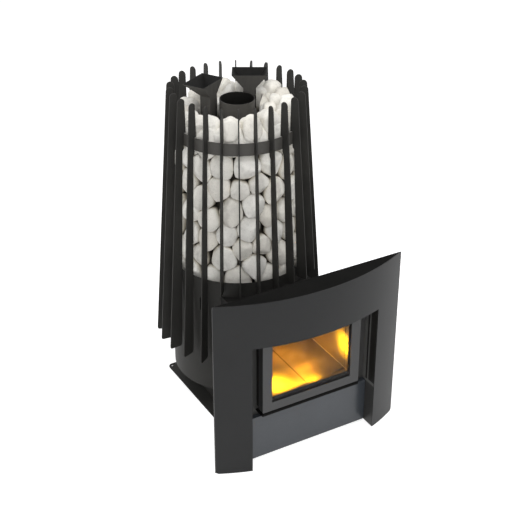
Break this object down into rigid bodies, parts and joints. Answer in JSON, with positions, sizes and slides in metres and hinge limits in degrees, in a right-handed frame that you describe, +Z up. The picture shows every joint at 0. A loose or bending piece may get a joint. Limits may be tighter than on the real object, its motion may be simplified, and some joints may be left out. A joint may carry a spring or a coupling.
{
  "type": "sauna stove",
  "caption": "Wood-fired sauna stove: round body under a tall slatted cage of stones with flue and water funnels, fuel tunnel, bowed portal with glazed door and ash drawer.",
  "frame": {"origin": "on the axis of the round body, at floor level", "axes": "+Z up, -Y towards the portal and its door, +X to the right of someone facing the door"},
  "size_m": [0.6888, 0.8352, 1.12],
  "materials": {
    "black_paint": "matt heat-resistant black",
    "satin_paint": "satin heat-resistant black",
    "panel": "smooth satin grey black",
    "raw_steel": "mill finish, heat stained",
    "cast_iron": "rough casting",
    "bright_steel": "satin",
    "glass": "clear heat-resistant pane",
    "rope": "woven fibre rope",
    "stone": "smooth pale stones"
  },
  "bodies": {
    "stove": {"base_plate": "black_paint", "front_plate": "black_paint", "leg_back_left": "black_paint", "leg_back_right": "black_paint", "mouth_collar": "black_paint", "portal_top": "black_paint", "body_shell": "black_paint", "hoop": "black_paint", "flue_pipe": "black_paint", "funnel_left": "black_paint", "funnel_right": "black_paint", "slat_01": "black_paint", "slat_02": "black_paint", "slat_03": "black_paint", "slat_04": "black_paint", "slat_05": "black_paint", "slat_06": "black_paint", "slat_07": "black_paint", "slat_08": "black_paint", "slat_09": "black_paint", "slat_10": "black_paint", "slat_11": "black_paint", "slat_12": "black_paint", "slat_13": "black_paint", "slat_14": "black_paint", "slat_15": "black_paint", "slat_16": "black_paint", "slat_17": "black_paint", "slat_18": "black_paint", "slat_19": "black_paint", "slat_20": "black_paint", "slat_21": "black_paint", "slat_22": "black_paint", "slat_23": "black_paint", "slat_24": "black_paint", "slat_25": "black_paint", "slat_26": "black_paint", "hearth_lip": "satin_paint", "portal_front": "satin_paint", "portal_return_left": "satin_paint", "portal_return_right": "satin_paint", "portal_soffit": "satin_paint", "ash_box": "raw_steel", "hearth": "raw_steel", "firebox": "raw_steel", "flame_baffle": "raw_steel", "fuel_tunnel": "raw_steel", "hinge_bracket_lower": "raw_steel", "hinge_bracket_upper": "raw_steel", "grate": "cast_iron", "door_catch": "bright_steel", "rope_seal": "rope", "stones": "stone"},
    "door": {"door_frame": "satin_paint", "door_glass": "glass", "glass_seal": "rope", "glass_retainer": "bright_steel"},
    "ash_drawer": {"drawer_front": "panel", "ash_tray": "raw_steel"}
  },
  "joints": [
    {"name": "door_hinge", "type": "hinge", "parent": "stove", "child": "door", "pos_m": [0.1895, -0.462, 0.333], "axis": [0, 0, 1], "range_deg": [0, 110]},
    {"name": "ash_drawer_slide", "type": "slide", "parent": "stove", "child": "ash_drawer", "axis": [0, -1, 0], "range_m": [0, 0.38]}
  ]
}
